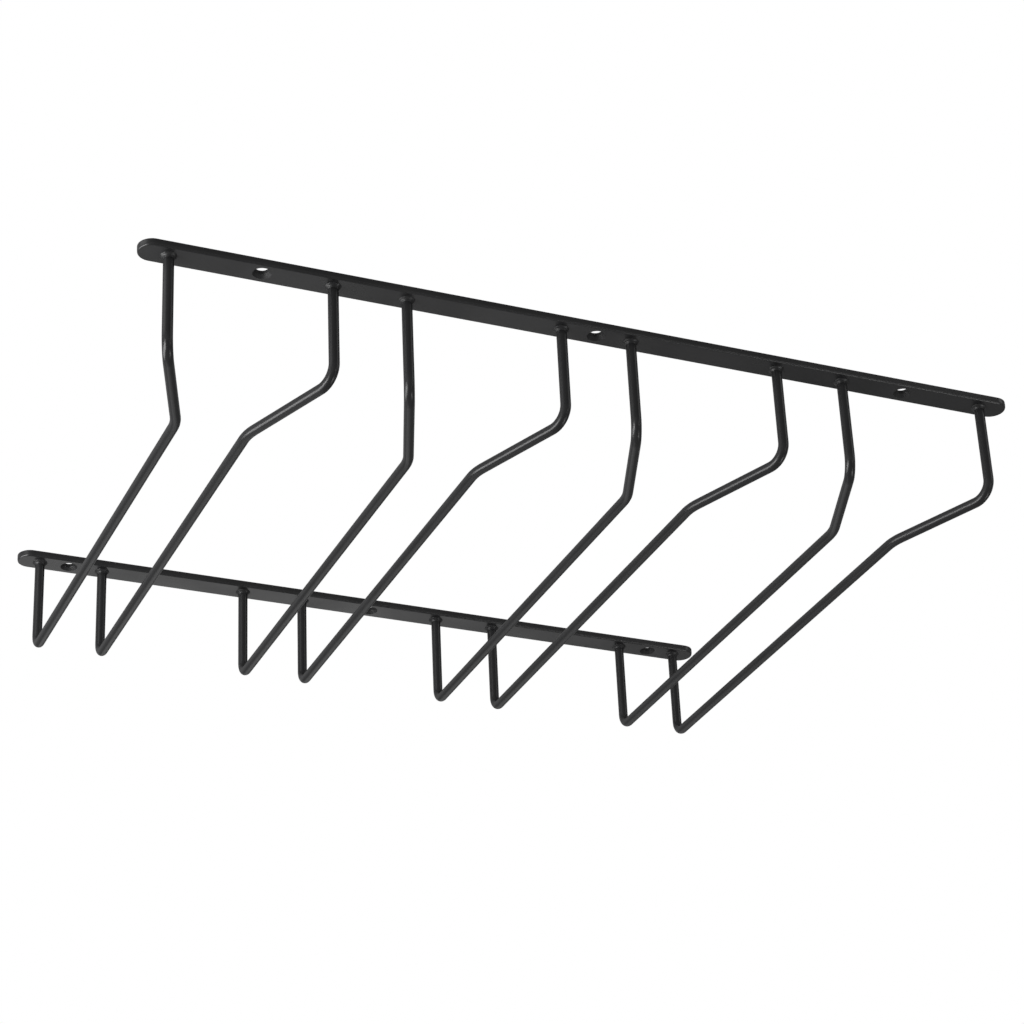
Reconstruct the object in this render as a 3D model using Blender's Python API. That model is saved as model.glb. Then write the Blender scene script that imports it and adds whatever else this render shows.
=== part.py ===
"""Hanging wine glass rack: two flat rails carry pairs of bent round wires.

The rack is screwed up under a shelf.  Each pair of wires is one channel: a glass
goes in foot first between the two front drops, its foot rides on the wires and
its stem hangs in the slot between them.  Every wire is one length of round bar,
bent three times and welded end on to the undersides of both rails.

Frame: metres, +Z up, origin on the shelf's underside at the middle of the rack,
+X along the rails to the right, +Y from the open front to the rear.
"""

import math

import bmesh
import bpy
from mathutils import Matrix, Vector

# Rails
RAIL_WIDTH = 0.0144
RAIL_THICKNESS = 0.0036
RAIL_EDGE_ROUND = 0.0004
RAIL_SPACING = 0.317
FRONT_RAIL_MARGIN = 0.0148
REAR_RAIL_MARGIN = 0.0125

# Channels
CHANNEL_COUNT = 4
CHANNEL_GAP = 0.037
MOUTH_SPACING = 0.080
SLOT_SPACING = 0.035
FLARE_LENGTH = 0.060

# Wires
WIRE_DIAMETER = 0.0052
HANGING_HEIGHT = 0.0575
MOUTH_BEND_RADIUS = 0.0098
FLARE_BEND_RADIUS = 0.030
REAR_BEND_RADIUS = 0.0070

# Screw holes, countersunk from below
SCREW_HOLE_DIAMETER = 0.0062
COUNTERSINK_DIAMETER = 0.0092
COUNTERSINK_ANGLE = math.radians(82)
FRONT_HOLE_INSET = 0.0050
REAR_HOLE_OUTSET = 0.0013
CUT_OVERRUN = 0.0010

# Weld collars: the metal that squeezed out when a wire was welded on
WELD_FOOT_DIAMETER = 0.0083
WELD_ROLL_DIAMETER = 0.0077
WELD_HEIGHT = 0.0021
WELD_FOOT_HEIGHT = 0.0004

# Clearance between pieces that touch
SEAT_GAP = 0.0003

# Facets
RAIL_END_STEPS = 16
RAIL_ROUND_STEPS = 2
HOLE_STEPS = 24
WELD_STEPS = 12
WELD_ROLL_STEPS = 3
QUARTER_BEND_STEPS = 8
WIRE_RING_RESOLUTION = 4
SMOOTH_ANGLE = math.radians(35)
MERGE_DISTANCE = 0.000001

# Worked out from the driving sizes
CHANNEL_PITCH = MOUTH_SPACING + CHANNEL_GAP
OUTER_CHANNEL_X = CHANNEL_PITCH * (CHANNEL_COUNT - 1) / 2
FRONT_Y = -RAIL_SPACING / 2
REAR_Y = RAIL_SPACING / 2
SEAT_Z = -RAIL_THICKNESS - SEAT_GAP
RUN_Z = WIRE_DIAMETER / 2 - HANGING_HEIGHT


def clear_scene():
    """Remove whatever the open file holds."""
    for thing in list(bpy.data.objects):
        bpy.data.objects.remove(thing, do_unlink=True)


def powder_coat(name, colour, roughness):
    """Satin black powder coat, a dielectric skin that hides the steel."""
    material = bpy.data.materials.new(name)
    material.use_nodes = True
    shader = material.node_tree.nodes["Principled BSDF"]
    shader.inputs["Base Color"].default_value = (*colour, 1)
    shader.inputs["Roughness"].default_value = roughness
    shader.inputs["Metallic"].default_value = 0
    material.diffuse_color = (*colour, 1)
    return material


def add_object(name, data, material, parent, location=(0, 0, 0)):
    """Put a named object into the scene with its material and its parent."""
    thing = bpy.data.objects.new(name, data)
    bpy.context.scene.collection.objects.link(thing)
    thing.location = location
    thing.parent = parent
    if material and not data.materials:
        data.materials.append(material)
    return thing


def add_rack_empty():
    """The point that the whole rack hangs from, at the middle of the shelf face."""
    rack = bpy.data.objects.new("rack", None)
    bpy.context.scene.collection.objects.link(rack)
    return rack


def turned_mesh(name, profile, steps, closed):
    """Turn a profile of (radius, height) points round the Z axis."""
    bm = bmesh.new()
    points = [bm.verts.new((radius, 0, height)) for radius, height in profile]
    edges = [bm.edges.new(pair) for pair in zip(points, points[1:])]
    if closed:
        edges.append(bm.edges.new((points[-1], points[0])))
    bmesh.ops.spin(
        bm,
        geom=points + edges,
        cent=(0, 0, 0),
        axis=(0, 0, 1),
        angle=math.tau,
        steps=steps,
        use_merge=True,
    )
    bmesh.ops.remove_doubles(bm, verts=bm.verts, dist=MERGE_DISTANCE)
    bmesh.ops.recalc_face_normals(bm, faces=bm.faces)
    mesh = bpy.data.meshes.new(name)
    bm.to_mesh(mesh)
    bm.free()
    mesh.shade_smooth()
    mesh.set_sharp_from_angle(angle=SMOOTH_ANGLE)
    return mesh


def rail_blank(name, length):
    """A flat bar with full-round ends, its top face on the shelf."""
    end_radius = RAIL_WIDTH / 2
    end_centre = length / 2 - end_radius
    bm = bmesh.new()
    outline = []
    for side in (1, -1):
        for step in range(RAIL_END_STEPS + 1):
            turn = math.pi * (step / RAIL_END_STEPS - 1 / 2)
            x = side * (end_centre + end_radius * math.cos(turn))
            y = side * end_radius * math.sin(turn)
            outline.append(bm.verts.new((x, y, 0)))
    face = bm.faces.new(outline)
    drop = bmesh.ops.extrude_face_region(bm, geom=[face])
    lower = [item for item in drop["geom"] if isinstance(item, bmesh.types.BMVert)]
    bmesh.ops.translate(bm, verts=lower, vec=(0, 0, -RAIL_THICKNESS))
    bmesh.ops.recalc_face_normals(bm, faces=bm.faces)
    mesh = bpy.data.meshes.new(name)
    bm.to_mesh(mesh)
    bm.free()
    mesh.shade_smooth()
    mesh.set_sharp_from_angle(angle=SMOOTH_ANGLE)
    return mesh


def screw_cutter_mesh():
    """The space of a countersunk screw: a shank hole that opens downwards."""
    shank = SCREW_HOLE_DIAMETER / 2
    head = COUNTERSINK_DIAMETER / 2
    sink_depth = (head - shank) / math.tan(COUNTERSINK_ANGLE / 2)
    underside = -RAIL_THICKNESS
    profile = [
        (0, CUT_OVERRUN),
        (shank, CUT_OVERRUN),
        (shank, underside + sink_depth),
        (head, underside),
        (head, underside - CUT_OVERRUN),
        (0, underside - CUT_OVERRUN),
    ]
    return turned_mesh("screw_cutter", profile, HOLE_STEPS, closed=False)


def add_screw_hole(rail, cutter_mesh, name, x, parent):
    """Cut one screw hole through a rail at a place along it."""
    cutter = add_object(name, cutter_mesh, None, parent, (x, rail.location.y, 0))
    cutter.hide_render = True
    cutter.display_type = "WIRE"
    cut = rail.modifiers.new(name, "BOOLEAN")
    cut.operation = "DIFFERENCE"
    cut.solver = "EXACT"
    cut.object = cutter


def add_rail(name, y, length, hole_places, cutter_mesh, material, parent):
    """One rail with softened edges and its row of screw holes."""
    rail = add_object(name, rail_blank(name, length), material, parent, (0, y, 0))
    soften = rail.modifiers.new("softened_edges", "BEVEL")
    soften.width = RAIL_EDGE_ROUND
    soften.segments = RAIL_ROUND_STEPS
    soften.limit_method = "ANGLE"
    soften.angle_limit = SMOOTH_ANGLE
    soften.use_clamp_overlap = True
    for number, x in enumerate(hole_places, start=1):
        add_screw_hole(rail, cutter_mesh, f"{name}_screw_{number}", x, parent)
    return rail


def rounded_path(corners, radii):
    """Points along straight runs joined by arcs of the given bend radii."""
    points = [corners[0]]
    for before, corner, after, radius in zip(corners, corners[1:], corners[2:], radii):
        inward = (before - corner).normalized()
        outward = (after - corner).normalized()
        turn = math.pi - inward.angle(outward)
        room = min((before - corner).length, (after - corner).length) / 2
        setback = min(radius * math.tan(turn / 2), room)
        bend_radius = setback / math.tan(turn / 2)
        middle = (inward + outward).normalized()
        centre = corner + middle * bend_radius / math.cos(turn / 2)
        start = corner + inward * setback - centre
        axis = start.cross(corner + outward * setback - centre).normalized()
        steps = max(2, round(QUARTER_BEND_STEPS * turn / (math.pi / 2)))
        for step in range(steps + 1):
            points.append(centre + Matrix.Rotation(turn * step / steps, 3, axis) @ start)
    points.append(corners[-1])
    return points


def wire_curve(name, side):
    """One channel wire about its channel's middle: side is -1 left, 1 right."""
    mouth_x = side * MOUTH_SPACING / 2
    slot_x = side * SLOT_SPACING / 2
    corners = [
        Vector((mouth_x, FRONT_Y, SEAT_Z)),
        Vector((mouth_x, FRONT_Y, RUN_Z)),
        Vector((slot_x, FRONT_Y + FLARE_LENGTH, RUN_Z)),
        Vector((slot_x, REAR_Y, RUN_Z)),
        Vector((slot_x, REAR_Y, SEAT_Z)),
    ]
    radii = (MOUTH_BEND_RADIUS, FLARE_BEND_RADIUS, REAR_BEND_RADIUS)
    path = rounded_path(corners, radii)
    curve = bpy.data.curves.new(name, "CURVE")
    curve.dimensions = "3D"
    curve.twist_mode = "MINIMUM"
    curve.bevel_depth = WIRE_DIAMETER / 2
    curve.bevel_resolution = WIRE_RING_RESOLUTION
    curve.use_fill_caps = True
    spline = curve.splines.new("POLY")
    spline.points.add(len(path) - 1)
    for knot, place in zip(spline.points, path):
        knot.co = (*place, 1)
    spline.use_smooth = True
    return curve


def weld_collar_mesh():
    """A ring of squeezed-out metal: a thin foot on the rail, a rounded roll below."""
    bore = WIRE_DIAMETER / 2 + SEAT_GAP
    roll_radius = WELD_ROLL_DIAMETER / 2
    roll_height = WELD_HEIGHT - WELD_FOOT_HEIGHT
    profile = [
        (bore, 0),
        (WELD_FOOT_DIAMETER / 2, 0),
    ]
    for step in range(WELD_ROLL_STEPS + 1):
        turn = math.pi / 2 * step / WELD_ROLL_STEPS
        radius = bore + (roll_radius - bore) * math.cos(turn)
        height = -WELD_FOOT_HEIGHT - roll_height * math.sin(turn)
        profile.append((radius, height))
    return turned_mesh("weld_collar", profile, WELD_STEPS, closed=True)


def add_rails(material, parent):
    """The longer front rail and the shorter rear rail, three screws in each."""
    cutter_mesh = screw_cutter_mesh()
    front_hole_x = OUTER_CHANNEL_X - FRONT_HOLE_INSET
    front_length = 2 * (OUTER_CHANNEL_X + MOUTH_SPACING / 2 + FRONT_RAIL_MARGIN)
    rear_hole_x = OUTER_CHANNEL_X + REAR_HOLE_OUTSET
    rear_length = 2 * (OUTER_CHANNEL_X + SLOT_SPACING / 2 + REAR_RAIL_MARGIN)
    rails = (
        ("front_rail", FRONT_Y, front_length, front_hole_x),
        ("rear_rail", REAR_Y, rear_length, rear_hole_x),
    )
    for name, y, length, hole_x in rails:
        add_rail(name, y, length, (-hole_x, 0, hole_x), cutter_mesh, material, parent)


def add_channels(wire_material, weld_material, parent):
    """Every channel's two wires, each with a weld collar at both ends."""
    curves = {"left": wire_curve("left_wire", -1), "right": wire_curve("right_wire", 1)}
    collar = weld_collar_mesh()
    for number in range(1, CHANNEL_COUNT + 1):
        channel_x = CHANNEL_PITCH * (number - 1) - OUTER_CHANNEL_X
        for hand, side in (("left", -1), ("right", 1)):
            stem = f"channel_{number}_{hand}"
            add_object(f"{stem}_wire", curves[hand], wire_material, parent, (channel_x, 0, 0))
            mouth = (channel_x + side * MOUTH_SPACING / 2, FRONT_Y, SEAT_Z)
            slot = (channel_x + side * SLOT_SPACING / 2, REAR_Y, SEAT_Z)
            add_object(f"{stem}_front_weld", collar, weld_material, parent, mouth)
            add_object(f"{stem}_rear_weld", collar, weld_material, parent, slot)


def build_rack():
    """Build the whole rack under one empty."""
    clear_scene()
    rail_coat = powder_coat("rail_powder_coat", (0.022, 0.022, 0.023), 0.42)
    wire_coat = powder_coat("wire_powder_coat", (0.020, 0.020, 0.021), 0.40)
    weld_coat = powder_coat("weld_powder_coat", (0.020, 0.020, 0.021), 0.36)
    rack = add_rack_empty()
    add_rails(rail_coat, rack)
    add_channels(wire_coat, weld_coat, rack)


build_rack()
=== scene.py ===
"""Looks of a hanging wine glass rack: satin black rails, bent wires and welds.

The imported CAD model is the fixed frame.  Every visible piece here stands for the
CAD nodes that it names and keeps their places, which are read from the frame.
"""

import math

import bmesh
import bpy
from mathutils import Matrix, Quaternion, Vector


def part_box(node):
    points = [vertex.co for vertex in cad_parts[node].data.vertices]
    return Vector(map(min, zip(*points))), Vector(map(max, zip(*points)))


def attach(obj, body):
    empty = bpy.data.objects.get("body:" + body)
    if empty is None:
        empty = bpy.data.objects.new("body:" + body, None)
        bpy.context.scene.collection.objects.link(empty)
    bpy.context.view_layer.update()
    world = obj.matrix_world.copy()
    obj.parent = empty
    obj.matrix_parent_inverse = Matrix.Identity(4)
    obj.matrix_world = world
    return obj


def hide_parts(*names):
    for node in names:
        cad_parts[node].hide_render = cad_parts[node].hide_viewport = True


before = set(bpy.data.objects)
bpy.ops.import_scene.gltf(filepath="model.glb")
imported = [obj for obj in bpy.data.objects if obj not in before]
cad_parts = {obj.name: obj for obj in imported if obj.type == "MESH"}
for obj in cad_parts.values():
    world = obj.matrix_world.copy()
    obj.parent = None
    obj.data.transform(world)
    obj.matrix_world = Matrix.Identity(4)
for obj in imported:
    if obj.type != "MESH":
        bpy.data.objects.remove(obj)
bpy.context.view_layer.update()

bl_info = {
    "name": "Hanging Wine Glass Rack",
    "version": (1, 0, 0),
    "blender": (4, 5, 0),
    "location": "3D View > Sidebar > Glass Rack",
    "description": "Makes the rails, wires and welds of a hanging wine glass rack, and its studio",
    "category": "Object",
}

BODY = "root"
RAIL_NODES = ("front_rail", "rear_rail")
WIRE_NODES = sorted(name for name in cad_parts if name.endswith("_wire"))
WELD_NODES = {
    "front": sorted(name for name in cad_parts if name.endswith("_front_weld")),
    "rear": sorted(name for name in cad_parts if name.endswith("_rear_weld")),
}

# An edge that bends by more than this stays sharp in the shading.
RAIL_SHARP_ANGLE = math.radians(35)
WIRE_SHARP_ANGLE = math.radians(50)

# Soft lights: name, place, point that it faces, width, height and glow.
SOFTBOXES = (
    ("low_rear_softbox", (0.5, 2.82, -1.35), (0, 0, 0), 1.9, 1.1, 0.43),
    ("near_rear_softbox", (0.07, 0.80, -0.315), (0, 0.1585, 0), 0.45, 0.2, 0.22),
    ("low_left_softbox", (-0.45, 0.97, -1.19), (0, 0, 0), 0.9, 0.6, 0.45),
    ("upper_left_softbox", (-0.62, -0.18, 0.26), (-0.2, -0.16, -0.03), 0.4, 0.25, 0.8),
    ("left_softbox", (-0.84, 0.02, -0.35), (0, 0, 0), 0.85, 0.36, 5.6),
    ("left_front_softbox", (-0.85, -0.38, -0.31), (0, -0.1, 0), 0.30, 0.32, 4.5),
    ("right_front_softbox", (1.75, -1.25, 0.75), (0, 0, 0), 0.9, 1.2, 0.8),
    ("strip_softbox", (0.95, -1.45, -0.32), (0.1, -0.1585, 0), 0.6, 0.14, 2.6),
    ("low_right_softbox", (1.05, -0.72, -1.25), (0, 0, 0), 0.5, 0.5, 4),
)

# How the surroundings' light changes along an axis of the direction it comes from:
# axis, value at the first place, value at the second place, and the two places.
FRONT_TO_REAR = ("Y", 0.30, 0.42, -0.8, 0.6)
LEFT_TO_RIGHT = ("X", 1.35, 0.66, -1, 0.7)
LOW_TO_LEVEL = ("Z", 0.5, 1.0, -0.15, 0.3)
LEVEL_TO_OVERHEAD = ("Z", 1.0, 0.65, 0.15, 0.45)
SHARE_BEHIND = ("Y", 0.0, 1.0, 0.0, 0.5)


class RailSizes(bpy.types.PropertyGroup):
    """Sizes of the two flat rails."""

    edge_round: bpy.props.FloatProperty(
        name="Edge round",
        description="Radius of the bar's plain long edges",
        default=0.0004,
        min=0.0001,
        unit="LENGTH",
        precision=5,
    )
    roll_height: bpy.props.FloatProperty(
        name="Roll height",
        description="How far the rolled lower front edge curves up the side of the bar",
        default=0.0015,
        min=0.0001,
        unit="LENGTH",
        precision=5,
    )
    roll_depth: bpy.props.FloatProperty(
        name="Roll depth",
        description="How far the rolled lower front edge curves in under the bar",
        default=0.0009,
        min=0.0001,
        unit="LENGTH",
        precision=5,
    )
    edge_steps: bpy.props.IntProperty(
        name="Edge steps",
        description="Facets across a rounded edge",
        default=10,
        min=1,
    )
    end_steps: bpy.props.IntProperty(
        name="End steps",
        description="Facets round each half-round end",
        default=48,
        min=8,
    )
    hole_diameter: bpy.props.FloatProperty(
        name="Hole diameter",
        description="Diameter of a screw hole above its countersink",
        default=0.0062,
        unit="LENGTH",
        precision=5,
    )
    sink_diameter: bpy.props.FloatProperty(
        name="Countersink diameter",
        description="Diameter of a countersink at the rail's underside",
        default=0.0092,
        unit="LENGTH",
        precision=5,
    )
    sink_angle: bpy.props.FloatProperty(
        name="Countersink angle",
        description="Full angle of the countersink's cone",
        default=math.radians(82),
        subtype="ANGLE",
    )
    lip_round: bpy.props.FloatProperty(
        name="Hole lip round",
        description="Rounding that the coat gives the rims of a screw hole",
        default=0.00018,
        unit="LENGTH",
        precision=5,
    )
    hole_steps: bpy.props.IntProperty(
        name="Hole steps",
        description="Facets round a screw hole",
        default=64,
        min=12,
    )
    front_hole_x: bpy.props.FloatProperty(
        name="Front hole distance",
        description="Distance of the front rail's outer holes from its middle",
        default=0.1705,
        unit="LENGTH",
        precision=5,
    )
    rear_hole_x: bpy.props.FloatProperty(
        name="Rear hole distance",
        description="Distance of the rear rail's outer holes from its middle",
        default=0.1768,
        unit="LENGTH",
        precision=5,
    )


class WireSizes(bpy.types.PropertyGroup):
    """Sizes of the bent wires."""

    diameter: bpy.props.FloatProperty(
        name="Wire diameter",
        description="Diameter of the round wire",
        default=0.0052,
        unit="LENGTH",
        precision=5,
    )
    flare_length: bpy.props.FloatProperty(
        name="Flare length",
        description="Length of the flared mouth, from front to rear",
        default=0.060,
        unit="LENGTH",
        precision=5,
    )
    mouth_bend: bpy.props.FloatProperty(
        name="Mouth bend",
        description="Radius of the bend below the front rail, at the wire's middle",
        default=0.0098,
        unit="LENGTH",
        precision=5,
    )
    flare_bend: bpy.props.FloatProperty(
        name="Flare bend",
        description="Radius of the slight bend from the flare into the run",
        default=0.030,
        unit="LENGTH",
        precision=5,
    )
    rear_bend: bpy.props.FloatProperty(
        name="Rear bend",
        description="Radius of the bend below the rear rail",
        default=0.007,
        unit="LENGTH",
        precision=5,
    )
    weld_sink: bpy.props.FloatProperty(
        name="Weld sink",
        description="How far the wire's end has melted into the rail",
        default=0.0008,
        unit="LENGTH",
        precision=5,
    )
    bend_steps: bpy.props.IntProperty(
        name="Bend steps",
        description="Facets along each bend",
        default=14,
        min=2,
    )
    sides: bpy.props.IntProperty(
        name="Wire sides",
        description="Facets round the wire",
        default=32,
        min=8,
    )


class WeldSizes(bpy.types.PropertyGroup):
    """Sizes of the weld collars."""

    height: bpy.props.FloatProperty(
        name="Weld height",
        description="How far a bead of weld metal reaches down its wire",
        default=0.0018,
        unit="LENGTH",
        precision=5,
    )
    foot_diameter: bpy.props.FloatProperty(
        name="Foot diameter",
        description="Diameter of the thin flash on the rail",
        default=0.0080,
        unit="LENGTH",
        precision=5,
    )
    foot_height: bpy.props.FloatProperty(
        name="Foot height",
        description="Height over which the flash runs out into the bead",
        default=0.00068,
        unit="LENGTH",
        precision=5,
    )
    bead_diameter: bpy.props.FloatProperty(
        name="Bead diameter",
        description="Diameter of the round bead below the flash",
        default=0.0061,
        unit="LENGTH",
        precision=5,
    )
    crease: bpy.props.FloatProperty(
        name="Crease",
        description="Step between the end of the bead and the wire",
        default=0.00006,
        unit="LENGTH",
        precision=5,
    )
    lump_height: bpy.props.FloatProperty(
        name="Lump height",
        description="Height of the uneven lumps in the metal",
        default=0.0005,
        unit="LENGTH",
        precision=5,
    )
    lump_size: bpy.props.FloatProperty(
        name="Lump size",
        description="Width of the uneven lumps in the metal",
        default=0.0028,
        unit="LENGTH",
        precision=5,
    )
    seed: bpy.props.IntProperty(
        name="Seed",
        description="Seed of each collar's turn and lumps",
        default=7,
    )


class CoatFinish(bpy.types.PropertyGroup):
    """Colour and surface of the powder coat."""

    colour: bpy.props.FloatVectorProperty(
        name="Colour",
        description="Base colour of the black powder coat",
        subtype="COLOR",
        size=3,
        default=(0.020, 0.020, 0.021),
        min=0,
        max=1,
    )
    roughness: bpy.props.FloatProperty(
        name="Roughness",
        description="Middle roughness of the satin surface",
        default=0.31,
        subtype="FACTOR",
        min=0,
        max=1,
    )
    rail_gloss: bpy.props.FloatProperty(
        name="Rail gloss",
        description="Strength of the mirror reflection of the thicker coat on the rails",
        default=0.65,
        subtype="FACTOR",
        min=0,
        max=1,
    )
    sink_roughness: bpy.props.FloatProperty(
        name="Countersink roughness",
        description="Middle roughness of the coat inside the screw holes",
        default=0.62,
        subtype="FACTOR",
        min=0,
        max=1,
    )
    weld_roughness: bpy.props.FloatProperty(
        name="Weld roughness",
        description="Middle roughness of the coat where it ran over the welds",
        default=0.40,
        subtype="FACTOR",
        min=0,
        max=1,
    )
    peel_height: bpy.props.FloatProperty(
        name="Orange peel height",
        description="Height of the coat's gentle waves",
        default=0.000009,
        unit="LENGTH",
        precision=6,
    )
    peel_size: bpy.props.FloatProperty(
        name="Orange peel size",
        description="Width of the coat's gentle waves",
        default=0.0022,
        unit="LENGTH",
        precision=5,
    )
    grain_height: bpy.props.FloatProperty(
        name="Grain height",
        description="Height of the coat's fine grain",
        default=0.0000012,
        unit="LENGTH",
        precision=7,
    )
    grain_size: bpy.props.FloatProperty(
        name="Grain size",
        description="Width of the coat's fine grain",
        default=0.00045,
        unit="LENGTH",
        precision=5,
    )


class StudioSettings(bpy.types.PropertyGroup):
    """Floor, lights and camera."""

    floor_drop: bpy.props.FloatProperty(
        name="Floor drop",
        description="Height of the shelf above the floor",
        default=2.2,
        unit="LENGTH",
    )
    floor_colour: bpy.props.FloatVectorProperty(
        name="Floor colour",
        description="Colour of the pale floor",
        subtype="COLOR",
        size=3,
        default=(0.76, 0.76, 0.76),
        min=0,
        max=1,
    )
    floor_light: bpy.props.FloatProperty(
        name="Floor light",
        description="Brightness of the evenly lit floor as the camera sees it",
        default=0.82,
        min=0,
    )
    lens: bpy.props.FloatProperty(
        name="Lens",
        description="Focal length of the camera in millimetres",
        default=101.24,
        unit="CAMERA",
    )
    distance: bpy.props.FloatProperty(
        name="Camera distance",
        description="Distance from the camera to the point it looks at",
        default=1.5624,
        unit="LENGTH",
    )
    azimuth: bpy.props.FloatProperty(
        name="Azimuth",
        description="Turn of the camera about the vertical, 0 looking straight at the front",
        default=math.radians(-24.1157),
        subtype="ANGLE",
    )
    elevation: bpy.props.FloatProperty(
        name="Elevation",
        description="Height angle of the camera, below the rack when negative",
        default=math.radians(-28.0555),
        subtype="ANGLE",
    )
    roll: bpy.props.FloatProperty(
        name="Roll",
        description="Turn of the camera about its line of sight",
        default=math.radians(-2.7319),
        subtype="ANGLE",
    )
    aim: bpy.props.FloatVectorProperty(
        name="Aim",
        description="Point that the camera looks at",
        subtype="TRANSLATION",
        size=3,
        default=(0.03392, 0.02721, -0.0004),
    )


class GlassRack(bpy.types.PropertyGroup):
    """Everything that can be set on the rack."""

    rails: bpy.props.PointerProperty(type=RailSizes)
    wires: bpy.props.PointerProperty(type=WireSizes)
    welds: bpy.props.PointerProperty(type=WeldSizes)
    coat: bpy.props.PointerProperty(type=CoatFinish)
    studio: bpy.props.PointerProperty(type=StudioSettings)


def add_object(name, data):
    """Link a new object at the origin."""
    thing = bpy.data.objects.new(name, data)
    bpy.context.scene.collection.objects.link(thing)
    return thing


def plain_mesh(thing, name):
    """Turn an object and its modifiers into one plain mesh object."""
    bpy.context.view_layer.update()
    depsgraph = bpy.context.evaluated_depsgraph_get()
    mesh = bpy.data.meshes.new_from_object(thing.evaluated_get(depsgraph))
    bpy.data.objects.remove(thing)
    mesh.name = name
    if not mesh.polygons:
        raise RuntimeError(f"{name} came out empty")
    return add_object(name, mesh)


def stand_for(piece, nodes):
    """Let a finished piece take the place of CAD nodes."""
    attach(piece, BODY)
    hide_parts(*nodes)


def add_node(tree, kind, inputs=None, **settings):
    """Add a node, set its properties and the values of its input sockets."""
    node = tree.nodes.new(kind)
    for name, value in settings.items():
        setattr(node, name, value)
    for name, value in (inputs or {}).items():
        node.inputs[name].default_value = value
    return node


def noise(tree, coordinates, size, detail=1):
    """A noise pattern whose features are about one size across."""
    node = add_node(tree, "ShaderNodeTexNoise", {"Scale": 1 / size, "Detail": detail})
    tree.links.new(coordinates, node.inputs["Vector"])
    return node.outputs["Fac"]


def spread(tree, value, low, high, start=0.3, end=0.7):
    """Map a range of a pattern, its middle unless given, to a range of values."""
    inputs = {"From Min": start, "From Max": end, "To Min": low, "To Max": high}
    node = add_node(tree, "ShaderNodeMapRange", inputs)
    tree.links.new(value, node.inputs["Value"])
    return node.outputs["Result"]


def raise_surface(tree, height, distance, normal=None):
    """Add one layer of relief to the surface."""
    bump = add_node(tree, "ShaderNodeBump", {"Distance": distance, "Strength": 1.0})
    tree.links.new(height, bump.inputs["Height"])
    if normal:
        tree.links.new(normal, bump.inputs["Normal"])
    return bump.outputs["Normal"]


def nib_pattern(tree, coordinates, spacing, share):
    """Sparse round specks, each as wide as a share of their spacing."""
    cells = add_node(tree, "ShaderNodeTexVoronoi", {"Scale": 1 / spacing})
    tree.links.new(coordinates, cells.inputs["Vector"])
    return spread(tree, cells.outputs["Distance"], low=1, high=0, start=0, end=share)


def powder_coat(name, coat, roughness, gloss=0.5):
    """Satin black powder coat: cloudy tone, orange peel, fine grain and a few nibs."""
    cloud_size = 0.030
    nib_spacing = 0.009
    nib_share = 0.035
    nib_height = 0.00004
    roughness_spread = 0.05
    tone_spread = 0.12
    material = bpy.data.materials.new(name)
    material.use_nodes = True
    tree = material.node_tree
    shader = tree.nodes["Principled BSDF"]
    shader.inputs["Metallic"].default_value = 0
    shader.inputs["Specular IOR Level"].default_value = gloss
    coordinates = add_node(tree, "ShaderNodeTexCoord").outputs["Object"]
    cloud = noise(tree, coordinates, cloud_size, detail=4)
    peel = noise(tree, coordinates, coat.peel_size)
    grain = noise(tree, coordinates, coat.grain_size)
    nibs = nib_pattern(tree, coordinates, nib_spacing, nib_share)
    tone = add_node(tree, "ShaderNodeMix", data_type="RGBA")
    tone.inputs["A"].default_value = (*(c * (1 - tone_spread) for c in coat.colour), 1)
    tone.inputs["B"].default_value = (*(c * (1 + tone_spread) for c in coat.colour), 1)
    tree.links.new(spread(tree, cloud, low=0, high=1), tone.inputs["Factor"])
    tree.links.new(tone.outputs["Result"], shader.inputs["Base Color"])
    rough = spread(tree, cloud, roughness - roughness_spread, roughness + roughness_spread)
    tree.links.new(rough, shader.inputs["Roughness"])
    normal = raise_surface(tree, peel, coat.peel_height)
    normal = raise_surface(tree, grain, coat.grain_height, normal)
    normal = raise_surface(tree, nibs, nib_height, normal)
    tree.links.new(normal, shader.inputs["Normal"])
    return material


def bar_outline(bm, low, high, insets, z, end_steps):
    """One level of a bar's outline: two straight sides and two half-round ends."""
    front_inset, rear_inset = insets
    end_radius = (high.y - low.y) / 2
    middle_y = (high.y + low.y) / 2
    outline = []
    for end_x, side in ((high.x - end_radius, 1), (low.x + end_radius, -1)):
        for step in range(end_steps + 1):
            turn = math.pi * (step / end_steps - 1 / 2)
            rear_share = (1 + side * math.sin(turn)) / 2
            radius = end_radius - front_inset - (rear_inset - front_inset) * rear_share
            x = end_x + side * radius * math.cos(turn)
            y = middle_y + side * radius * math.sin(turn)
            outline.append(bm.verts.new((x, y, z)))
    return outline


def curve_inset(distance, height, depth):
    """How far a rounded edge stands in, at a distance from the face that it starts from."""
    if distance >= height:
        return 0.0
    return depth * (1 - math.sqrt(1 - (1 - distance / height) ** 2))


def edge_levels(low, high, rails):
    """Height of each level of a bar, with its insets at the front and at the rear."""
    thickness = high.z - low.z
    plain = rails.edge_round
    turns = [math.pi / 2 * step / rails.edge_steps for step in range(rails.edge_steps + 1)]
    heights = [rails.roll_height * (1 - math.cos(turn)) for turn in turns]
    heights += [thickness - plain * (1 - math.cos(turn)) for turn in reversed(turns)]
    levels = []
    for height in heights:
        upper = curve_inset(thickness - height, plain, plain)
        rolled = curve_inset(height, rails.roll_height, rails.roll_depth)
        lower = curve_inset(height, plain, plain)
        levels.append((low.z + height, (max(upper, rolled), max(upper, lower))))
    return levels


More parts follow.
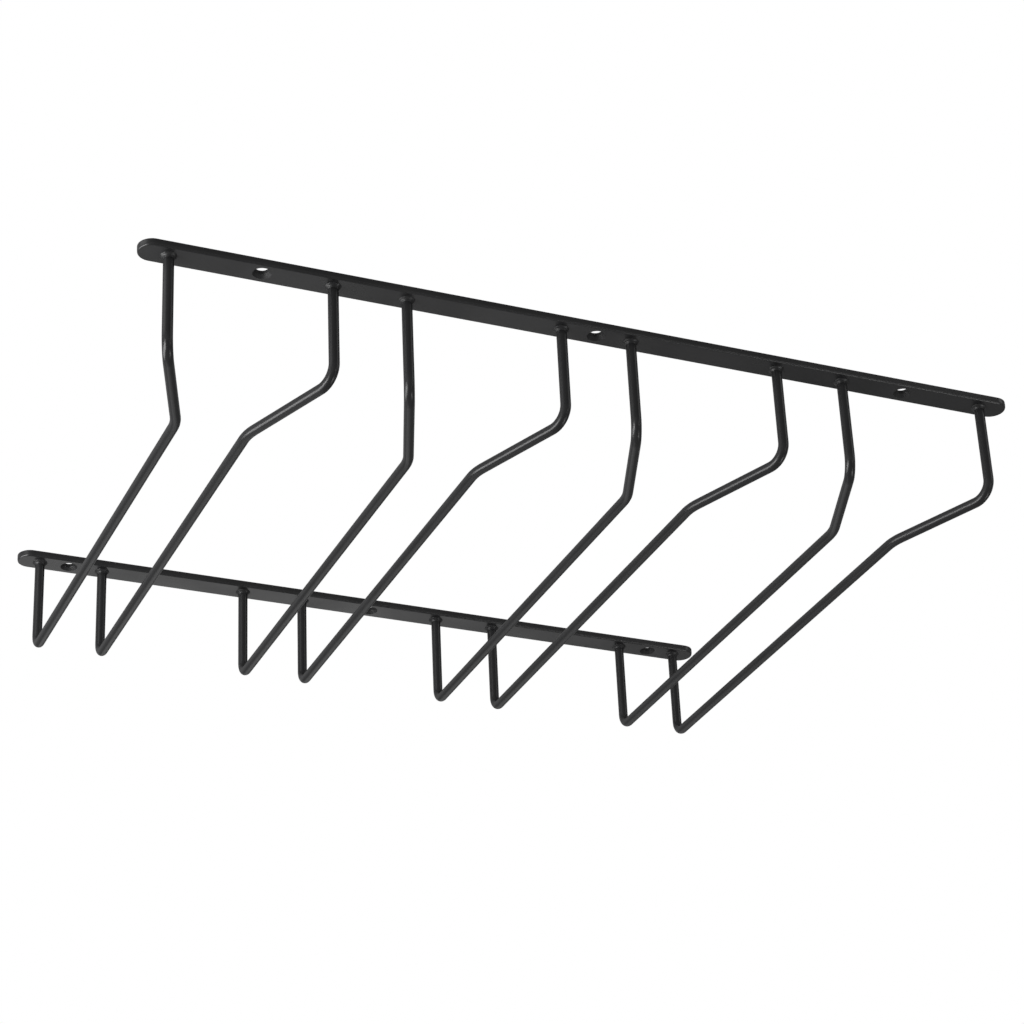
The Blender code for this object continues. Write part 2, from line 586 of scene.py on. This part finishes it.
def bar_blank(low, high, rails):
    """A flat bar with half-round ends and rounded edges that fills a box."""
    bm = bmesh.new()
    levels = []
    for z, insets in edge_levels(low, high, rails):
        levels.append(bar_outline(bm, low, high, insets, z, rails.end_steps))
    for below, above in zip(levels, levels[1:]):
        count = len(below)
        for at in range(count):
            ahead = (at + 1) % count
            bm.faces.new((below[at], below[ahead], above[ahead], above[at]))
    bm.faces.new(levels[0])
    bm.faces.new(levels[-1])
    bmesh.ops.recalc_face_normals(bm, faces=bm.faces)
    mesh = bpy.data.meshes.new("bar_blank")
    bm.to_mesh(mesh)
    bm.free()
    return mesh


def turned_mesh(name, profile, steps, closed=False):
    """Turn a profile of (radius, height) points round the Z axis."""
    merge_distance = 0.000001
    bm = bmesh.new()
    points = [bm.verts.new((radius, 0, height)) for radius, height in profile]
    edges = [bm.edges.new(pair) for pair in zip(points, points[1:])]
    if closed:
        edges.append(bm.edges.new((points[-1], points[0])))
    bmesh.ops.spin(
        bm,
        geom=points + edges,
        cent=(0, 0, 0),
        axis=(0, 0, 1),
        angle=math.tau,
        steps=steps,
        use_merge=True,
    )
    bmesh.ops.remove_doubles(bm, verts=bm.verts, dist=merge_distance)
    bmesh.ops.recalc_face_normals(bm, faces=bm.faces)
    mesh = bpy.data.meshes.new(name)
    bm.to_mesh(mesh)
    bm.free()
    return mesh


def screw_cutter(low, high, rails):
    """The space of a countersunk screw hole, open downwards."""
    overrun = 0.001
    shank = rails.hole_diameter / 2
    head = rails.sink_diameter / 2
    sink_depth = (head - shank) / math.tan(rails.sink_angle / 2)
    profile = [
        (0, high.z + overrun),
        (shank, high.z + overrun),
        (shank, low.z + sink_depth),
        (head, low.z),
        (head, low.z - overrun),
        (0, low.z - overrun),
    ]
    return turned_mesh("screw_cutter", profile, rails.hole_steps)


def soften_rims(mesh, width):
    """Round the sharp rims that the screw holes left in a rail."""
    rim_facets = 2
    round_profile = 0.5
    bm = bmesh.new()
    bm.from_mesh(mesh)
    rims = []
    for edge in bm.edges:
        if len(edge.link_faces) == 2 and edge.calc_face_angle() > RAIL_SHARP_ANGLE:
            rims.append(edge)
    bmesh.ops.bevel(
        bm,
        geom=rims,
        offset=width,
        offset_type="OFFSET",
        segments=rim_facets,
        profile=round_profile,
        affect="EDGES",
        clamp_overlap=True,
    )
    bm.to_mesh(mesh)
    bm.free()
    return len(rims)


def make_rail(node, hole_x, rack, material, sink_material):
    """One rail: bar with rounded edges, screw holes and rounded hole rims."""
    largest_face_rules = 100
    low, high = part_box(node)
    blank = add_object(f"{node}_blank", bar_blank(low, high, rack.rails))
    blank.data.materials.append(material)
    cutter_mesh = screw_cutter(low, high, rack.rails)
    cutter_mesh.materials.append(sink_material)
    cutters = []
    for x in (-hole_x, 0, hole_x):
        cutter = add_object("screw_cutter", cutter_mesh)
        cutter.location = (x, (low.y + high.y) / 2, 0)
        cut = blank.modifiers.new("screw hole", "BOOLEAN")
        cut.operation = "DIFFERENCE"
        cut.solver = "EXACT"
        cut.material_mode = "TRANSFER"
        cut.object = cutter
        cutters.append(cutter)
    rail = plain_mesh(blank, f"{node}_coated")
    for cutter in cutters:
        bpy.data.objects.remove(cutter)
    if not soften_rims(rail.data, rack.rails.lip_round):
        raise RuntimeError(f"{node} has no screw holes")
    rail.data.shade_smooth()
    rail.data.set_sharp_from_angle(angle=RAIL_SHARP_ANGLE)
    weigh = rail.modifiers.new("flat faces stay flat", "WEIGHTED_NORMAL")
    weigh.keep_sharp = True
    weigh.weight = largest_face_rules
    rail = plain_mesh(rail, f"{node}_coated")
    stand_for(rail, [node])


class MakeRails(bpy.types.Operator):
    """Make both flat rails, with half-round ends and countersunk screw holes"""

    bl_idname = "glass_rack.make_rails"
    bl_label = "Rails"
    bl_options = {"REGISTER", "UNDO"}

    def execute(self, context):
        rack = context.scene.glass_rack
        coat = rack.coat
        material = powder_coat("rail powder coat", coat, coat.roughness, coat.rail_gloss)
        sink_material = powder_coat("countersink powder coat", coat, coat.sink_roughness)
        places = (rack.rails.front_hole_x, rack.rails.rear_hole_x)
        for node, hole_x in zip(RAIL_NODES, places):
            make_rail(node, hole_x, rack, material, sink_material)
        return {"FINISHED"}


def new_tree(name, sockets):
    """An empty geometry node tree with named inputs and one geometry output."""
    tree = bpy.data.node_groups.new(name, "GeometryNodeTree")
    tree.interface.new_socket("Geometry", in_out="INPUT", socket_type="NodeSocketGeometry")
    for label, kind in sockets:
        tree.interface.new_socket(label, in_out="INPUT", socket_type=kind)
    tree.interface.new_socket("Geometry", in_out="OUTPUT", socket_type="NodeSocketGeometry")
    return tree


def set_input(modifier, label, value):
    """Set a node tree's input on its modifier by the socket's identifier."""
    for item in modifier.node_group.interface.items_tree:
        if item.item_type == "SOCKET" and item.in_out == "INPUT" and item.name == label:
            modifier[item.identifier] = value
            return
    raise KeyError(f"the node tree has no input named {label}")


def end_tree(tree, geometry, given):
    """Every tree ends in shading, real geometry and its material."""
    smooth = add_node(tree, "GeometryNodeSetShadeSmooth")
    real = add_node(tree, "GeometryNodeRealizeInstances")
    paint = add_node(tree, "GeometryNodeSetMaterial")
    output = add_node(tree, "NodeGroupOutput")
    tree.links.new(geometry, smooth.inputs["Geometry"])
    tree.links.new(smooth.outputs["Geometry"], real.inputs["Geometry"])
    tree.links.new(real.outputs["Geometry"], paint.inputs["Geometry"])
    tree.links.new(given.outputs["Material"], paint.inputs["Material"])
    tree.links.new(paint.outputs["Geometry"], output.inputs["Geometry"])


def bent_wire_tree():
    """A wire along a line of corners, bent to the radius stored at each corner."""
    sockets = (
        ("Diameter", "NodeSocketFloat"),
        ("Sides", "NodeSocketInt"),
        ("Bend Steps", "NodeSocketInt"),
        ("Material", "NodeSocketMaterial"),
    )
    tree = new_tree("bent wire", sockets)
    link = tree.links.new
    given = add_node(tree, "NodeGroupInput")
    line = add_node(tree, "GeometryNodeMeshToCurve")
    radius = add_node(
        tree, "GeometryNodeInputNamedAttribute", {"Name": "bend_radius"}, data_type="FLOAT"
    )
    bend = add_node(tree, "GeometryNodeFilletCurve", mode="POLY")
    half = add_node(tree, "ShaderNodeMath", {1: 0.5}, operation="MULTIPLY")
    ring = add_node(tree, "GeometryNodeCurvePrimitiveCircle", mode="RADIUS")
    sweep = add_node(tree, "GeometryNodeCurveToMesh", {"Fill Caps": True})
    link(given.outputs["Geometry"], line.inputs["Mesh"])
    link(line.outputs["Curve"], bend.inputs["Curve"])
    link(radius.outputs["Attribute"], bend.inputs["Radius"])
    link(given.outputs["Bend Steps"], bend.inputs["Count"])
    link(given.outputs["Diameter"], half.inputs[0])
    link(half.outputs["Value"], ring.inputs["Radius"])
    link(given.outputs["Sides"], ring.inputs["Resolution"])
    link(bend.outputs["Curve"], sweep.inputs["Curve"])
    link(ring.outputs["Curve"], sweep.inputs["Profile Curve"])
    end_tree(tree, sweep.outputs["Mesh"], given)
    return tree


def wire_corners(node, wires):
    """Where a wire's straight lines meet, and the bend radius at each corner."""
    low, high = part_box(node)
    radius = wires.diameter / 2
    left_x = low.x + radius
    right_x = high.x - radius
    outer_x, inner_x = (left_x, right_x) if "_left_" in node else (right_x, left_x)
    front_y = low.y + radius
    rear_y = high.y - radius
    run_z = low.z + radius
    top_z = high.z + wires.weld_sink
    corners = [
        (outer_x, front_y, top_z),
        (outer_x, front_y, run_z),
        (inner_x, front_y + wires.flare_length, run_z),
        (inner_x, rear_y, run_z),
        (inner_x, rear_y, top_z),
    ]
    return corners, (0, wires.mouth_bend, wires.flare_bend, wires.rear_bend, 0)


def wire_line(node, wires):
    """The line of corners that the wire tree bends."""
    corners, radii = wire_corners(node, wires)
    mesh = bpy.data.meshes.new(f"{node}_line")
    mesh.from_pydata(corners, [(at, at + 1) for at in range(len(corners) - 1)], [])
    attribute = mesh.attributes.new("bend_radius", "FLOAT", "POINT")
    attribute.data.foreach_set("value", radii)
    return add_object(f"{node}_line", mesh)


class BendWires(bpy.types.Operator):
    """Bend the wires of every channel and sink their ends into the rails"""

    bl_idname = "glass_rack.bend_wires"
    bl_label = "Wires"
    bl_options = {"REGISTER", "UNDO"}

    def execute(self, context):
        rack = context.scene.glass_rack
        material = powder_coat("wire powder coat", rack.coat, rack.coat.roughness)
        tree = bent_wire_tree()
        for node in WIRE_NODES:
            line = wire_line(node, rack.wires)
            modifier = line.modifiers.new("bent wire", "NODES")
            modifier.node_group = tree
            set_input(modifier, "Diameter", rack.wires.diameter)
            set_input(modifier, "Sides", rack.wires.sides)
            set_input(modifier, "Bend Steps", rack.wires.bend_steps)
            set_input(modifier, "Material", material)
            wire = plain_mesh(line, f"{node}_coated")
            wire.data.set_sharp_from_angle(angle=WIRE_SHARP_ANGLE)
            stand_for(wire, [node])
        return {"FINISHED"}


def collar_profile(weld, wire_radius):
    """Outline of a weld: a thin flash on the rail, a round bead, a crease at the wire."""
    steps = 28
    embed = 0.0004
    inner = wire_radius - embed
    end_radius = wire_radius + weld.crease
    bead = weld.bead_diameter / 2 - end_radius
    flash = (weld.foot_diameter - weld.bead_diameter) / 2
    profile = [(inner, embed), (weld.foot_diameter / 2, embed)]
    for step in range(steps + 1):
        turn = math.pi / 2 * step / steps
        drop = weld.height * math.sin(turn)
        foot = flash * math.exp(-((drop / weld.foot_height) ** 2))
        profile.append((end_radius + bead * math.cos(turn) + foot, -drop))
    profile.append((inner, -weld.height))
    return profile


def weld_collar_tree():
    """Weld collars on a set of points, each turned and lumped its own way."""
    sockets = (
        ("Collar", "NodeSocketObject"),
        ("Lump Height", "NodeSocketFloat"),
        ("Lump Size", "NodeSocketFloat"),
        ("Seed", "NodeSocketInt"),
        ("Material", "NodeSocketMaterial"),
    )
    tree = new_tree("weld collars", sockets)
    link = tree.links.new
    given = add_node(tree, "NodeGroupInput")
    collar = add_node(tree, "GeometryNodeObjectInfo")
    turn = add_node(tree, "FunctionNodeRandomValue", data_type="FLOAT_VECTOR")
    turn.inputs[0].default_value = (0, 0, 0)
    turn.inputs[1].default_value = (0, 0, math.tau)
    place = add_node(tree, "GeometryNodeInstanceOnPoints")
    real = add_node(tree, "GeometryNodeRealizeInstances")
    position = add_node(tree, "GeometryNodeInputPosition")
    scale = add_node(tree, "ShaderNodeMath", {0: 1.0}, operation="DIVIDE")
    lumps = add_node(tree, "ShaderNodeTexNoise", {"Detail": 1.0}, noise_dimensions="4D")
    centred = add_node(tree, "ShaderNodeMath", {1: 0.5}, operation="SUBTRACT")
    height = add_node(tree, "ShaderNodeMath", operation="MULTIPLY")
    normal = add_node(tree, "GeometryNodeInputNormal")
    offset = add_node(tree, "ShaderNodeVectorMath", operation="SCALE")
    move = add_node(tree, "GeometryNodeSetPosition")
    link(given.outputs["Collar"], collar.inputs["Object"])
    link(given.outputs["Seed"], turn.inputs["Seed"])
    link(given.outputs["Geometry"], place.inputs["Points"])
    link(collar.outputs["Geometry"], place.inputs["Instance"])
    link(turn.outputs[0], place.inputs["Rotation"])
    link(place.outputs["Instances"], real.inputs["Geometry"])
    link(given.outputs["Lump Size"], scale.inputs[1])
    link(position.outputs["Position"], lumps.inputs["Vector"])
    link(given.outputs["Seed"], lumps.inputs["W"])
    link(scale.outputs["Value"], lumps.inputs["Scale"])
    link(lumps.outputs["Fac"], centred.inputs[0])
    link(centred.outputs["Value"], height.inputs[0])
    link(given.outputs["Lump Height"], height.inputs[1])
    link(normal.outputs["Normal"], offset.inputs["Vector"])
    link(height.outputs["Value"], offset.inputs["Scale"])
    link(real.outputs["Geometry"], move.inputs["Geometry"])
    link(offset.outputs["Vector"], move.inputs["Offset"])
    end_tree(tree, move.outputs["Geometry"], given)
    return tree


def weld_points(nodes, rail_node):
    """A point on the rail's underside above the middle of each weld."""
    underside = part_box(rail_node)[0].z
    points = []
    for node in nodes:
        low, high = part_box(node)
        middle = (low + high) / 2
        points.append((middle.x, middle.y, underside))
    return points


class LayWelds(bpy.types.Operator):
    """Lay an uneven weld collar round both ends of every wire"""

    bl_idname = "glass_rack.lay_welds"
    bl_label = "Welds"
    bl_options = {"REGISTER", "UNDO"}

    def execute(self, context):
        rack = context.scene.glass_rack
        collar_steps = 40
        material = powder_coat("weld powder coat", rack.coat, rack.coat.weld_roughness)
        profile = collar_profile(rack.welds, rack.wires.diameter / 2)
        collar_mesh = turned_mesh("weld_collar", profile, collar_steps, closed=True)
        collar = add_object("weld_collar", collar_mesh)
        tree = weld_collar_tree()
        for end, rail_node in zip(("front", "rear"), RAIL_NODES):
            nodes = WELD_NODES[end]
            mesh = bpy.data.meshes.new(f"{end}_weld_points")
            mesh.from_pydata(weld_points(nodes, rail_node), [], [])
            points = add_object(f"{end}_weld_points", mesh)
            modifier = points.modifiers.new("weld collars", "NODES")
            modifier.node_group = tree
            set_input(modifier, "Collar", collar)
            set_input(modifier, "Lump Height", rack.welds.lump_height)
            set_input(modifier, "Lump Size", rack.welds.lump_size)
            set_input(modifier, "Seed", rack.welds.seed)
            set_input(modifier, "Material", material)
            welds = plain_mesh(points, f"{end}_weld_collars")
            stand_for(welds, nodes)
        bpy.data.objects.remove(collar)
        return {"FINISHED"}


def add_floor(studio):
    """A wide pale floor, far below the rack.

    The camera sees it evenly lit, and the coat mirrors it dimmer, by the light on it.
    """
    radius = 9.0
    rim_steps = 96
    dull = 0.9
    bm = bmesh.new()
    bmesh.ops.create_circle(bm, cap_ends=True, radius=radius, segments=rim_steps)
    bmesh.ops.translate(bm, verts=bm.verts, vec=(0, 0, -studio.floor_drop))
    mesh = bpy.data.meshes.new("studio_floor")
    bm.to_mesh(mesh)
    bm.free()
    material = bpy.data.materials.new("pale floor")
    material.use_nodes = True
    tree = material.node_tree
    shader = tree.nodes["Principled BSDF"]
    shader.inputs["Base Color"].default_value = (*studio.floor_colour, 1)
    shader.inputs["Roughness"].default_value = dull
    lit = add_node(tree, "ShaderNodeEmission", {"Strength": studio.floor_light})
    path = add_node(tree, "ShaderNodeLightPath")
    choose = add_node(tree, "ShaderNodeMixShader")
    tree.links.new(path.outputs["Is Camera Ray"], choose.inputs["Fac"])
    tree.links.new(shader.outputs["BSDF"], choose.inputs[1])
    tree.links.new(lit.outputs["Emission"], choose.inputs[2])
    tree.links.new(choose.outputs["Shader"], tree.nodes["Material Output"].inputs["Surface"])
    mesh.materials.append(material)
    add_object("studio_floor", mesh)


def add_softbox(name, place, target, width, height, glow):
    """A soft light that faces a point, as bright as its glow from every side."""
    light = bpy.data.lights.new(name, "AREA")
    light.shape = "RECTANGLE"
    light.size = width
    light.size_y = height
    light.energy = glow * math.pi * width * height
    lamp = add_object(name, light)
    lamp.location = place
    direction = Vector(target) - Vector(place)
    lamp.rotation_euler = direction.to_track_quat("-Z", "Y").to_euler()
    lamp.visible_camera = False


def change_along(tree, axes, axis, low, high, start, end):
    """A value that changes along one axis of a direction."""
    return spread(tree, axes.outputs[axis], low, high, start, end)


def product(tree, first, second):
    """Multiply two values."""
    node = add_node(tree, "ShaderNodeMath", operation="MULTIPLY")
    tree.links.new(first, node.inputs[0])
    tree.links.new(second, node.inputs[1])
    return node.outputs["Value"]


def add_surroundings():
    """Surroundings that light the rack unevenly. The camera sees them plain white.

    They are dimmer in front, to the right, overhead and low behind the rack.
    """
    white = (1, 1, 1, 1)
    world = bpy.data.worlds.new("white studio")
    world.use_nodes = True
    bpy.context.scene.world = world
    tree = world.node_tree
    tree.nodes.clear()
    link = tree.links.new
    direction = add_node(tree, "ShaderNodeTexCoord").outputs["Generated"]
    axes = add_node(tree, "ShaderNodeSeparateXYZ")
    link(direction, axes.inputs["Vector"])
    low_behind = add_node(tree, "ShaderNodeMix", {"A": 1.0}, data_type="FLOAT")
    link(change_along(tree, axes, *SHARE_BEHIND), low_behind.inputs["Factor"])
    link(change_along(tree, axes, *LOW_TO_LEVEL), low_behind.inputs["B"])
    depth = change_along(tree, axes, *FRONT_TO_REAR)
    across = change_along(tree, axes, *LEFT_TO_RIGHT)
    overhead = change_along(tree, axes, *LEVEL_TO_OVERHEAD)
    sides = product(tree, depth, across)
    heights = product(tree, low_behind.outputs["Result"], overhead)
    light = add_node(tree, "ShaderNodeBackground", {"Color": white})
    link(product(tree, sides, heights), light.inputs["Strength"])
    seen = add_node(tree, "ShaderNodeBackground", {"Color": white, "Strength": 1.0})
    path = add_node(tree, "ShaderNodeLightPath")
    choose = add_node(tree, "ShaderNodeMixShader")
    output = add_node(tree, "ShaderNodeOutputWorld")
    link(path.outputs["Is Camera Ray"], choose.inputs["Fac"])
    link(light.outputs["Background"], choose.inputs[1])
    link(seen.outputs["Background"], choose.inputs[2])
    link(choose.outputs["Shader"], output.inputs["Surface"])


def add_camera(studio):
    """The photograph's view, from below and in front."""
    film_width = 36
    farthest = 60
    camera_data = bpy.data.cameras.new("camera")
    camera_data.lens = studio.lens
    camera_data.sensor_width = film_width
    camera_data.clip_end = farthest
    camera = add_object("camera", camera_data)
    level = math.cos(studio.elevation)
    back = Vector(
        (
            math.sin(studio.azimuth) * level,
            -math.cos(studio.azimuth) * level,
            math.sin(studio.elevation),
        )
    )
    camera.location = Vector(studio.aim) + back * studio.distance
    camera.rotation_mode = "QUATERNION"
    roll = Quaternion((0, 0, 1), studio.roll)
    camera.rotation_quaternion = (-back).to_track_quat("-Z", "Y") @ roll
    bpy.context.scene.camera = camera


class SetStudio(bpy.types.Operator):
    """Set up the pale floor, the soft lights, the surroundings and the camera"""

    bl_idname = "glass_rack.set_studio"
    bl_label = "Studio"
    bl_options = {"REGISTER", "UNDO"}

    def execute(self, context):
        studio = context.scene.glass_rack.studio
        context.scene.view_settings.view_transform = "Standard"
        add_floor(studio)
        for softbox in SOFTBOXES:
            add_softbox(*softbox)
        add_surroundings()
        add_camera(studio)
        return {"FINISHED"}


class GlassRackPanel(bpy.types.Panel):
    """Settings and steps of the wine glass rack"""

    bl_idname = "VIEW3D_PT_glass_rack"
    bl_label = "Wine Glass Rack"
    bl_space_type = "VIEW_3D"
    bl_region_type = "UI"
    bl_category = "Glass Rack"

    def draw(self, context):
        rack = context.scene.glass_rack
        for label, group, step in (
            ("Rails", rack.rails, MakeRails),
            ("Wires", rack.wires, BendWires),
            ("Welds", rack.welds, LayWelds),
            ("Coat", rack.coat, None),
            ("Studio", rack.studio, SetStudio),
        ):
            box = self.layout.box()
            box.label(text=label)
            for name in group.bl_rna.properties.keys():
                if name not in {"rna_type", "name"}:
                    box.prop(group, name)
            if step:
                box.operator(step.bl_idname)


CLASSES = (
    RailSizes,
    WireSizes,
    WeldSizes,
    CoatFinish,
    StudioSettings,
    GlassRack,
    MakeRails,
    BendWires,
    LayWelds,
    SetStudio,
    GlassRackPanel,
)


def register():
    """Register the classes and the settings on the scene."""
    for each in CLASSES:
        bpy.utils.register_class(each)
    bpy.types.Scene.glass_rack = bpy.props.PointerProperty(type=GlassRack)


def unregister():
    """Remove the settings and the classes."""
    del bpy.types.Scene.glass_rack
    for each in reversed(CLASSES):
        bpy.utils.unregister_class(each)


def main():
    """Make the rack and its studio."""
    register()
    bpy.ops.glass_rack.make_rails()
    bpy.ops.glass_rack.bend_wires()
    bpy.ops.glass_rack.lay_welds()
    bpy.ops.glass_rack.set_studio()


if __name__ == "__main__":
    main()
